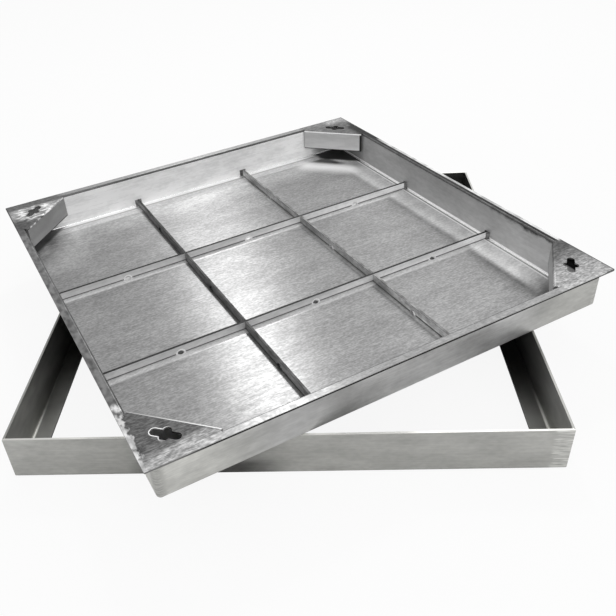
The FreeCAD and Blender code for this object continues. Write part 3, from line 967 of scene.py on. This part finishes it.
@dataclass(frozen=True)
class StainedWallFinish(WallFinish):
    """The back right wall: darker towards the back, with a painted shadow under the rim and stains
    towards the right.

    Attributes:
        back_share: Share of the tone that is left from the middle backwards.
        stain_tone: Grey level of the stains and of the painted shadow under the rim.
        shade_tone: Grey level of the shade behind the right corner plate.
    """

    back_share: float = 0.74
    stain_tone: float = 0.06
    shade_tone: float = 0.01

    def shade(self, steel: Surface, tone: Socket) -> Socket:
        """Add the change along the wall, the stains with the painted shadow under the rim, and the
        painted shade behind the right plate.

        Args:
            steel: The wall's surface.
            tone: The tone so far.

        Returns:
            The tone's socket.
        """
        tone = steel.times(tone, steel.ramp(steel.y, -200.0, 20.0, 1.0, self.back_share))
        # Painted shadow along the top under the rim, reaching lower as stains towards the right.
        drip = steel.noise((14.0, 14.0, 14.0), 4.0, 41.0, 0.25, 0.75)
        reach = steel.times(drip, steel.ramp(steel.y, -190.0, -60.0, 11.0, 2.0))
        stain = steel.ramp(steel.add_up(steel.z, reach), LID_TOP - 5.0, LID_TOP + 5.0)
        tone = steel.blend(super().shade(steel, tone), self.stain_tone, stain)
        # Painted shade behind the right corner plate.
        behind = steel.times(steel.ramp(steel.y, -214.0, -220.0),
                             steel.ramp(steel.z, LID_TOP - 24.0, LID_TOP - 21.0))
        return steel.blend(tone, self.shade_tone, behind)


@dataclass(frozen=True)
class RimShadeFinish(SheetFinish):
    """Sheet by the rim's overhang, in its deep shade except by the front corner.

    Attributes:
        under_tone: Grey level in the shade under the rim.
    """

    under_tone: float = 0.01

    def under_rim(self, steel: Surface, tone: Socket, drop: Span, face: Span) -> Socket:
        """Lay the shade under the front right rim over a tone.

        Args:
            steel: The sheet's surface.
            tone: The tone so far.
            drop: How far under the rim's top the shade starts, and how far it is full.
            face: The y at which the front right side starts, and where the shade is full.

        Returns:
            The tone's socket.
        """
        shade = steel.times(steel.ramp(steel.z, *(LID_TOP - depth for depth in drop)),
                            steel.ramp(steel.x, -285.0, -225.0, 0.3, 1.0),
                            steel.ramp(steel.y, *face))
        return steel.blend(tone, self.under_tone, shade)


@dataclass(frozen=True)
class OuterFinish(RimShadeFinish):
    """The tray's outside: dull sheet, greener towards the corners and with painted shade under the
    rim.

    Attributes:
        middle_lift: How much brighter the front right face is right of its middle, as painted
            light.
        stroke_tone: Grey level of the ground upright corners.
    """

    middle_lift: float = 1.45
    stroke_tone: float = 0.5

    def tints(self, steel: Surface) -> tuple[Number, Number, Number]:
        """Neutral along the middle and greener towards the corners."""
        red, green, blue = self.tint
        return red, green, steel.ramp(steel.off(steel.x), 120.0, 240.0, 1.0, blue)

    def shade(self, steel: Surface, tone: Socket) -> Socket:
        """Paint light on the long middle, grind the corners and paint shade on the strip under the
        rim.

        Args:
            steel: The surface of the outside.
            tone: The tone so far.

        Returns:
            The tone's socket.
        """
        tone = steel.times(tone, steel.ramp(steel.x, 120.0, 240.0, 1.0, 0.86),
                           steel.ramp(steel.x, -270.0, -170.0, 1.16, 0.97))
        # Painted light along the middle of the front right face.
        tone = steel.scale(tone, self.middle_lift, steel.band(steel.x, -20.0, 110.0, 70.0))
        tone = steel.vary(tone, steel.noise((45.0, 45.0, 30.0), 1.0, 31.0), 0.08)
        strokes = steel.noise((9.0, 9.0, 1.4), 3.0, 33.0, 0.35, 0.62)
        ragged = steel.shift(steel.math("MINIMUM", steel.off(steel.x), steel.off(steel.y)),
                             strokes, 4.0)
        tone = steel.blend(tone, steel.vary(self.stroke_tone, strokes, 0.15),
                           steel.ramp(ragged, 282.0, 289.0))
        # Painted shade under the rim's overhang.
        tone = steel.times(tone, steel.ramp(steel.z, LID_TOP - 9.0, LID_TOP - 2.0, 1.0, 0.5))
        return self.under_rim(steel, tone, (12.9, 12.1), (-286.0, -290.0))


@dataclass(frozen=True)
class EdgeFinish(RimShadeFinish):
    """The rim's cut edge: its lower half lies in the shade under the rim."""

    def shade(self, steel: Surface, tone: Socket) -> Socket:
        """Darken the lower half, less so by the front corner."""
        return self.under_rim(steel, tone, (0.7, 1.1), (-296.0, -300.0))


@dataclass(frozen=True)
class RibFinish(SheetFinish):
    """A rib strip: side bright or dark by painted light and shade, dark sheared top edge.

    Attributes:
        foot_tone: Grey level of the painted shade line along the foot.
        ring_tone: Grey level of the rings round the weep notches.
        top_tone: Grey level of the sheared top edge.
    """

    foot_tone: float = 0.12
    ring_tone: float = 0.9
    top_tone: float = 0.02

    def shade(self, steel: Surface, tone: Socket) -> Socket:
        """Paint shade along the foot, darken the sheared top edge and colour the rings round the
        weeps.

        Args:
            steel: The rib's surface.
            tone: The tone so far.

        Returns:
            The tone's socket.
        """
        light = (steel.ramp(steel.x, -30.0, 110.0, 0.72, 1.0) if self.along is Along.X
                 else steel.ramp(steel.y, -240.0, -100.0, 1.8, 1.0))
        # Painted shade along the foot, where the side meets the floor.
        foot = steel.ramp(steel.z, RIB_FOOT + 1.9, RIB_FOOT + 0.9)
        tone = steel.blend(steel.times(tone, light), self.foot_tone, foot)
        step = steel.math("WRAP", steel.take(self.place(steel), WEEP_SHIFT), 0.5 * WEEP_PITCH,
                          -0.5 * WEEP_PITCH)
        away = steel.length(step, steel.take(steel.z, RIB_FOOT))
        tone = steel.blend(tone, self.ring_tone, steel.ramp(away, 6.8, 5.8))
        rust = steel.noise((12.0, 12.0, 4.0), 2.0, 23.0)
        return steel.blend(tone, steel.vary(self.top_tone, rust, 0.4),
                           steel.ramp(steel.z, RIB_TOP - 0.5, RIB_TOP - 0.1))


@dataclass(frozen=True)
class FrameFinish(SheetFinish):
    """A frame side: dull outside, inside under painted shade, painted highlights on the cut top
    edge and the inside fold, one corner ground.

    Attributes:
        inside_tone: Grey level of the inside and the ledge.
        right_share: Share of it that is left at the right.
        fold_tone: Grey level of the painted highlight on the fold between them.
        foot_tone: Grey level of the painted shadow on the front side's foot under the lid's corner.
        stroke_tone: Grey level of the ground corner.
        edge_tone: Grey level of the painted highlight on the cut top edge.
    """

    inside_tone: float = 0.34
    right_share: float = 0.65
    fold_tone: float = 0.95
    foot_tone: float = 0.01
    stroke_tone: float = 0.6
    edge_tone: float = 0.9

    def shade(self, steel: Surface, tone: Socket) -> Socket:
        """Tell the outside, the inside, the top edge and the ground corner apart.

        Args:
            steel: The frame's surface.
            tone: The tone so far.

        Returns:
            The tone's socket.
        """
        reach = steel.most(steel.off(steel.x, FRAME_MIDDLE.x), steel.off(steel.y, FRAME_MIDDLE.y))
        outside = steel.ramp(reach, FRAME_HALF - 1.6, FRAME_HALF - 0.6)
        tone = steel.blend(self.inside(steel, reach), self.under_lid(steel, tone), outside)
        # Painted shade along the foot, where the sides meet the ground.
        tone = steel.times(tone, steel.ramp(steel.z, 0.9, 2.6, 0.3, 1.0))
        tone = self.ground_corner(steel, tone, outside)
        # Painted highlight on the cut top edge, weaker towards the left.
        edge = steel.ramp(steel.x, -260.0, -100.0, 0.6 * self.edge_tone, self.edge_tone)
        return steel.blend(tone, edge, steel.ramp(steel.z, FRAME_TOP - 0.5, FRAME_TOP - 0.2))

    def inside(self, steel: Surface, reach: Socket) -> Socket:
        """The inside: painted shadow of the lid darker towards the back, darker towards the right,
        with a painted highlight on the fold near the front.

        Args:
            steel: The frame's surface.
            reach: Distance off the frame's middle.

        Returns:
            The tone's socket.
        """
        tone = steel.vary(self.inside_tone, steel.noise((40.0, 40.0, 15.0), 2.0, 27.0), 0.12)
        # Painted shadow of the lid, darker towards the back.
        tone = steel.times(tone, steel.ramp(steel.y, -270.0, -120.0, 1.1, 0.45))
        right = steel.times(steel.ramp(steel.x, 100.0, 200.0), steel.ramp(steel.y, -290.0, -200.0))
        fold = steel.times(steel.band(reach, FRAME_HALF - 4.4, FRAME_HALF - 2.8, 1.2),
                           steel.ramp(steel.z, 5.6, 4.2), steel.ramp(steel.y, -190.0, -275.0))
        return steel.blend(steel.scale(tone, self.right_share, right), self.fold_tone, fold)

    def under_lid(self, steel: Surface, tone: Socket) -> Socket:
        """Paint the shadow that the lid's front corner casts on the front side's foot.

        Args:
            steel: The frame's surface.
            tone: The tone so far.

        Returns:
            The tone's socket.
        """
        # Painted shadow of the lid's front corner on the front side's foot.
        here = steel.times(steel.ramp(steel.x, -165.0, -120.0),
                           steel.ramp(steel.y, -290.0, -300.0))
        dark = steel.times(steel.ramp(steel.x, 30.0, -38.0),
                           steel.ramp(steel.z, 14.0, 24.0, 0.73, 0.36), here)
        foot = steel.times(steel.ramp(steel.x, 24.0, -16.0), steel.ramp(steel.z, 3.4, 2.2), here)
        return steel.blend(steel.times(tone, steel.take(1.0, dark)), self.foot_tone, foot)

    def ground_corner(self, steel: Surface, tone: Socket, outside: Socket) -> Socket:
        """Grind the outside's front right corner with ragged level strokes.

        Args:
            steel: The frame's surface.
            tone: The tone so far.
            outside: Mask of the outside.

        Returns:
            The tone's socket.
        """
        strokes = steel.noise((22.0, 22.0, 0.9), 3.0, 29.0, 0.35, 0.62)
        right = FRAME_MIDDLE.x + FRAME_HALF
        front = FRAME_MIDDLE.y - FRAME_HALF
        here = steel.times(
            steel.ramp(steel.shift(steel.x, strokes, 8.0), right - 14.0, right - 9.0),
            steel.ramp(steel.shift(steel.y, strokes, -8.0), front + 14.0, front + 9.0), outside)
        return steel.blend(tone, steel.vary(self.stroke_tone, strokes, 0.3), here)


class Shape:
    """A bmesh that is built with operators and handed over as one finished piece."""

    def __init__(self) -> None:
        """Start empty."""
        self.mesh = bmesh.new()

    def edges(self, test: Callable[[Vector, Vector], bool]) -> list[bmesh.types.BMEdge]:
        """The edges whose two ends pass a test."""
        return [edge for edge in self.mesh.edges
                if test(edge.verts[0].co, edge.verts[1].co)]

    def bevel(self, edges: list[bmesh.types.BMEdge], radius: float, segments: int) -> None:
        """Round edges with a number of facets."""
        bmesh.ops.bevel(self.mesh, geom=edges, offset=radius, segments=segments, profile=0.5,
                        affect="EDGES", material=-1, clamp_overlap=True)

    def piece(self, name: str, place: Matrix, finishes: list[bpy.types.Material],
              node: str, slot: str) -> bpy.types.Object:
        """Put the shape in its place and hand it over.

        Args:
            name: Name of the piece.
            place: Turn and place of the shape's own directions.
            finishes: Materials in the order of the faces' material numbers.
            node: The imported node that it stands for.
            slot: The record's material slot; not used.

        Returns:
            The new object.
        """
        bmesh.ops.transform(self.mesh, matrix=place, verts=self.mesh.verts)
        data = bpy.data.meshes.new(name)
        self.mesh.to_mesh(data)
        self.mesh.free()
        for finish in finishes:
            data.materials.append(finish)
        thing = bpy.data.objects.new(name, data)
        bpy.context.scene.collection.objects.link(thing)
        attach(thing, "root")
        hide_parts(node)
        return thing


class TrayRegion(Enum):
    """The stretches of the tray's sheet that look different."""

    FLOOR = 0
    FOOT_FOLD = 1
    WALL_LEFT_BACK = 2
    WALL_BACK_RIGHT = 3
    WALL_FRONT_RIGHT = 4
    WALL_LEFT_FRONT = 5
    RIM = 6
    RIM_FOLD = 7
    RIM_EDGE = 8
    OUTSIDE = 9


@dataclass
class Tray:
    """The lid's tray, one folded sheet: floor, four walls and an outward rim.

    Attributes:
        rim_half: Half the rim's side.
        wall_half: Half the side of the box that the walls make, outside.
        height: Height over all.
        sheet: Thickness of the sheet.
        corner: Outside radius of the upright corners.
        fold: Outside radius of the folds.
        point: Radius of the rim's four points.
        margin: How far in from the rim's side a face of its cut edge may lie.
        corner_facets: Facets of an upright corner.
        fold_facets: Facets of a fold.
        point_facets: Facets of a point.
        slack: How far a test of an edge's or face's place may be off.
        straight: Share of a flat face's normal that lies along one direction.
    """

    rim_half: float = RIM_HALF * MM
    wall_half: float = WALL_HALF * MM
    height: float = (LID_TOP - LID_BOTTOM) * MM
    sheet: float = SHEET * MM
    corner: float = 5.0 * MM
    fold: float = 3.0 * MM
    point: float = 1.0 * MM
    margin: float = 1.5 * MM
    corner_facets: int = 6
    fold_facets: int = 5
    point_facets: int = 3
    slack: float = 0.1 * MM
    straight: float = 0.9999

    def build(self) -> bpy.types.Object:
        """Model the sheet.

        Returns:
            The piece's object.
        """
        shape = Shape()
        self.fold_sheet(shape)
        self.round_folds(shape)
        bmesh.ops.solidify(shape.mesh, geom=shape.mesh.faces[:], thickness=-self.sheet)
        self.round_points(shape)
        bmesh.ops.recalc_face_normals(shape.mesh, faces=shape.mesh.faces[:])
        for face in shape.mesh.faces:
            face.material_index = self.region(face).value
            face.smooth = not self.flat(face)
        place = (Matrix.Translation((0.0, 0.0, LID_BOTTOM * MM))
                 @ Matrix.Rotation(LID_TURN, 4, "Z"))
        return shape.piece("lid_tray_sheet", place, self.finishes(), "lid_tray",
                           "lid_sheet_metal")

    def fold_sheet(self, shape: Shape) -> None:
        """Press the box down from the middle of a square sheet, with square folds.

        Args:
            shape: An empty shape, which becomes the sheet.
        """
        made = bmesh.ops.create_grid(shape.mesh, x_segments=1, y_segments=1, size=self.rim_half)
        underside = self.height - self.sheet
        bmesh.ops.translate(shape.mesh, verts=made["verts"], vec=(0.0, 0.0, underside))
        middle = shape.mesh.faces[:]
        bmesh.ops.inset_region(shape.mesh, faces=middle, use_boundary=True,
                               use_even_offset=True, thickness=self.rim_half - self.wall_half)
        down = bmesh.ops.extrude_discrete_faces(shape.mesh, faces=middle)["faces"]
        floor = list({vert for face in down for vert in face.verts})
        bmesh.ops.translate(shape.mesh, verts=floor, vec=(0.0, 0.0, -underside))

    def round_folds(self, shape: Shape) -> None:
        """Round the upright corners and the two folds.

        Args:
            shape: The sheet so far.
        """
        top = self.height - self.sheet
        upright = shape.edges(lambda a, b: abs(a.z - b.z) > 0.5 * top)
        shape.bevel(upright, self.corner, self.corner_facets)
        foot = shape.edges(lambda a, b: max(a.z, b.z) < self.slack)
        shape.bevel(foot, self.fold, self.fold_facets)
        reach = self.wall_half + self.slack
        rim = shape.edges(lambda a, b: min(a.z, b.z) > top - self.slack
                          and max(abs(a.x), abs(a.y), abs(b.x), abs(b.y)) < reach)
        shape.bevel(rim, self.fold - self.sheet, self.fold_facets)

    def round_points(self, shape: Shape) -> None:
        """Take the sharpness off the rim's four points.

        Args:
            shape: The sheet so far.
        """
        reach = self.rim_half - self.slack
        points = shape.edges(lambda a, b: min(abs(a.x), abs(a.y), abs(b.x), abs(b.y)) > reach
                             and abs(a.z - b.z) > 0.5 * self.sheet)
        shape.bevel(points, self.point, self.point_facets)

    def region(self, face: bmesh.types.BMFace) -> TrayRegion:
        """Which stretch of the sheet a face belongs to.

        Args:
            face: The face.

        Returns:
            The stretch.
        """
        middle = face.calc_center_median()
        normal = face.normal
        out = max(abs(middle.x), abs(middle.y))
        inner = self.wall_half - self.sheet
        if out > self.rim_half - self.margin and abs(normal.z) < 0.5:
            return TrayRegion.RIM_EDGE
        if out > self.wall_half + self.slack:
            return TrayRegion.RIM if normal.z > 0.0 else TrayRegion.OUTSIDE
        if normal.z > self.straight:
            return TrayRegion.FLOOR
        if normal.x * middle.x + normal.y * middle.y >= 0.0:
            return TrayRegion.OUTSIDE
        if middle.z > self.height - self.fold:
            return TrayRegion.RIM_FOLD
        if middle.z < self.fold and out > inner - self.fold:
            return TrayRegion.FOOT_FOLD
        if abs(middle.x) > abs(middle.y):
            return TrayRegion.WALL_BACK_RIGHT if middle.x > 0.0 else TrayRegion.WALL_LEFT_FRONT
        return TrayRegion.WALL_LEFT_BACK if middle.y > 0.0 else TrayRegion.WALL_FRONT_RIGHT

    def flat(self, face: bmesh.types.BMFace) -> bool:
        """Whether a face is one of the sheet's flat stretches."""
        return max(abs(part) for part in face.normal) > self.straight

    def finishes(self) -> list[bpy.types.Material]:
        """The materials in the order of TrayRegion.

        Returns:
            The materials.
        """
        return [
            FloorFinish().build(),
            # Painted highlight on the fold at the walls' feet.
            SheetFinish("fold_line_steel", 0.98, 0.25).build(),
            WallFinish("wall_left_back_steel", 0.95, 0.6, metallic=0.6,
                       foot_rise=2.4).build(),
            StainedWallFinish("wall_back_right_steel", 0.58, 0.5, Along.Y, metallic=0.8,
                              end_tone=1.0).build(),
            WallFinish("wall_front_right_steel", 0.6, 0.5).build(),
            WallFinish("wall_left_front_steel", 0.6, 0.5, Along.Y).build(),
            RimFinish().build(),
            # Painted shade on the rim's inner fold.
            SheetFinish("rim_fold_steel", 0.1, 0.45, mottle=0.2).build(),
            EdgeFinish("rim_edge_steel", 0.3, 0.5, mottle=0.15).build(),
            OuterFinish("outer_wall_steel", 0.58, 0.5, tint=DULL_GREEN).build(),
        ]


@dataclass(frozen=True)
class Lamp:
    """A soft box that faces the lid's middle.

    Attributes:
        name: Name of the lamp.
        place: Where it hangs, in metres.
        size: Width and height of its face.
        power: Power in watts.
    """

    name: str
    place: tuple[float, float, float]
    size: tuple[float, float]
    power: float

    def hang(self, aim: Vector) -> None:
        """Hang it so that it faces a point.

        Args:
            aim: The point.
        """
        data = bpy.data.lights.new(self.name, "AREA")
        data.shape = "RECTANGLE"
        data.size, data.size_y = self.size
        data.energy = self.power
        lamp = bpy.data.objects.new(self.name, data)
        place = Vector(self.place)
        lamp.matrix_world = (Matrix.Translation(place)
                             @ (place - aim).to_track_quat("Z", "Y").to_matrix().to_4x4())
        bpy.context.scene.collection.objects.link(lamp)


class Studio:
    """The pale floor, the soft light and the camera at the photograph's angle.

    The camera's focal length and principal point are in pixels of the square photograph, its
    angles in radians.
    """

    IMAGE = 616
    SENSOR = 36.0
    FOCAL = 720.44
    PRINCIPAL = (272.65, 298.76)
    PLACE = Vector((51.51, -847.09, 610.52)) * MM
    YAW = -0.07236
    PITCH = 0.61879
    ROLL = -0.07103
    FLOOR_HALF = 6.0
    FLOOR_COLOUR = (0.8, 0.8, 0.8, 1.0)
    FLOOR_SEEN = 0.9
    WORLD_TONE = 0.75
    AIM = Vector((0.0, 0.0, 0.1))
    LAMPS = (
        Lamp("streak_light", (-0.06, 1.13, 1.55), (0.25, 0.25), 6.2),
        Lamp("side_light", (0.64, 1.36, 1.25), (0.9, 0.6), 2.0),
        Lamp("front_light", (0.9, -1.5, 1.1), (1.2, 1.2), 8.0),
    )

    def camera(self) -> None:
        """Set the camera from the photograph's solved position, angles and focal length."""
        data = bpy.data.cameras.new("photo_camera")
        data.sensor_width = self.SENSOR
        data.lens = self.FOCAL / self.IMAGE * self.SENSOR
        data.shift_x = 0.5 - self.PRINCIPAL[0] / self.IMAGE
        data.shift_y = self.PRINCIPAL[1] / self.IMAGE - 0.5
        data.clip_start = 0.01
        ahead = Vector((math.sin(self.YAW) * math.cos(self.PITCH),
                        math.cos(self.YAW) * math.cos(self.PITCH), -math.sin(self.PITCH)))
        level = Vector((math.cos(self.YAW), -math.sin(self.YAW), 0.0))
        above = level.cross(ahead)
        right = level * math.cos(self.ROLL) + above * math.sin(self.ROLL)
        up = above * math.cos(self.ROLL) - level * math.sin(self.ROLL)
        turn = Matrix((right, up, -ahead)).transposed().to_4x4()
        camera = bpy.data.objects.new("photo_camera", data)
        camera.matrix_world = Matrix.Translation(self.PLACE) @ turn
        bpy.context.scene.collection.objects.link(camera)
        bpy.context.scene.camera = camera

    def floor(self) -> None:
        """Lay a large pale floor under the object."""
        mesh = bpy.data.meshes.new("floor")
        shape = bmesh.new()
        bmesh.ops.create_grid(shape, x_segments=1, y_segments=1, size=self.FLOOR_HALF)
        shape.to_mesh(mesh)
        shape.free()
        piece = bpy.data.objects.new("floor", mesh)
        bpy.context.scene.collection.objects.link(piece)
        material = bpy.data.materials.new("pale_floor")
        nodes = NodeTree(material)
        path = nodes.add("ShaderNodeLightPath")
        matt = nodes.add("ShaderNodeBsdfDiffuse", Color=self.FLOOR_COLOUR)
        glow = nodes.add("ShaderNodeEmission", Color=WHITE, Strength=1.0)
        share = nodes.times(path.outputs["Is Camera Ray"], self.FLOOR_SEEN)
        mixed = nodes.add("ShaderNodeMixShader", {0: share, 1: matt.outputs[0], 2: glow.outputs[0]})
        nodes.add("ShaderNodeOutputMaterial", {"Surface": mixed.outputs[0]})
        mesh.materials.append(material)

    def world(self) -> None:
        """White for what the camera and the metal see, and a soft grey light for the rest."""
        world = bpy.data.worlds.new("studio")
        bpy.context.scene.world = world
        nodes = NodeTree(world)
        path = nodes.add("ShaderNodeLightPath").outputs
        seen = nodes.most(path["Is Camera Ray"], path["Is Glossy Ray"],
                          path["Is Transmission Ray"])
        strength = nodes.ramp(seen, 0.0, 1.0, self.WORLD_TONE, 1.0)
        back = nodes.add("ShaderNodeBackground", {"Strength": strength}, Color=WHITE)
        nodes.add("ShaderNodeOutputWorld", {"Surface": back.outputs[0]})

    def build(self) -> None:
        """Set up the whole studio."""
        self.camera()
        self.floor()
        self.world()
        for lamp in self.LAMPS:
            lamp.hang(self.AIM)
        bpy.context.scene.view_settings.view_transform = "Standard"


def dress_nodes() -> None:
    """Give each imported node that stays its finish."""
    # The rib sides' tones are painted light and shade: the ribs across bright, the left rib shaded
    # and also rusty, the right rib between.
    across = RibFinish("rib_across_steel", 0.92, 0.5, metallic=0.6).build()
    left = RibFinish("rib_left_steel", 0.2, 0.5, Along.Y, mottle=0.4, foot_tone=0.04,
                     ring_tone=0.03, top_tone=0.07).build()
    right = RibFinish("rib_right_steel", 0.46, 0.5, Along.Y, mottle=0.3, ring_tone=0.6,
                      top_tone=0.2).build()
    ground = GroundFinish("ground_plate_steel").build()
    seam = GroundFinish("ground_seam_metal").build()
    front = FrameFinish("frame_steel_x", 0.5, 0.45, Along.X, 0.0, tint=DULL_GREEN).build()
    side = FrameFinish("frame_steel_y", 0.5, 0.45, Along.Y, 0.0, tint=DULL_GREEN,
                       edge_tone=0.45).build()
    tack = SheetFinish("tack_metal", 0.16, 0.45, mottle=0.4).build()
    finishes = {
        "rib_end_tacks": tack,
        "rib_front": across,
        "rib_back": across,
        "rib_left": left,
        "rib_right": right,
        "key_plate_weld": seam,
        "key_plate": ground,
        "frame_weld": front,
        "frame_side_left": side,
        "frame_side_right": side,
        "frame_side": front,
    }
    for name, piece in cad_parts.items():
        start = next((start for start in finishes if name.startswith(start)), None)
        if start is not None:
            piece.material_slots[0].material = finishes[start]
            LOG.info("%s dressed", name)


def main() -> None:
    """Dress the model, build the tray and set up the studio."""
    logging.basicConfig(level=logging.INFO)
    dress_nodes()
    LOG.info("%s built", Tray().build().name)
    Studio().build()


if __name__ == "__main__":
    main()
